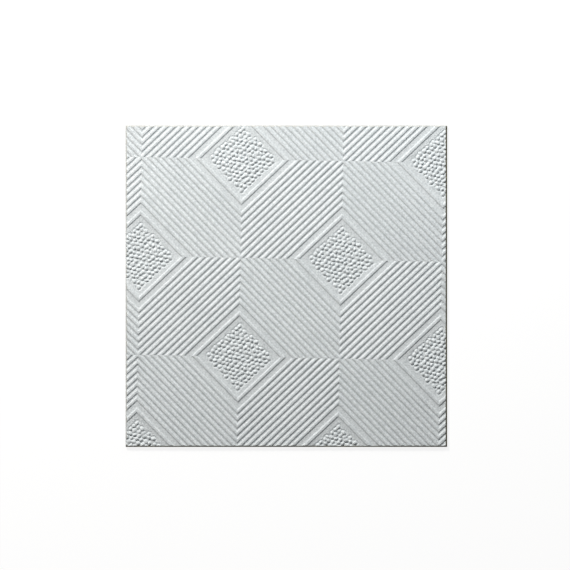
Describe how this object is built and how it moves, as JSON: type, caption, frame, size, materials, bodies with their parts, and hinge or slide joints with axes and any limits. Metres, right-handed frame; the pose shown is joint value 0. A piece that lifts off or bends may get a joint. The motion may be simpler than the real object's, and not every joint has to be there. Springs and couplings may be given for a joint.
{
  "type": "suspended ceiling tile",
  "caption": "Square lay-in ceiling tile with a white embossed face of nested diamond ribs around pebbled centres, for an exposed suspension grid.",
  "frame": {"origin": "centre of the tile's back face, on the plane it lies on", "axes": "+X across the face, +Y up the face as pictured, +Z out of the face"},
  "size_m": [0.595, 0.595, 0.008],
  "materials": {
    "white_face": "matte, finely grained white film"
  },
  "bodies": {
    "root": {"ceiling_tile": "white_face"}
  },
  "joints": []
}
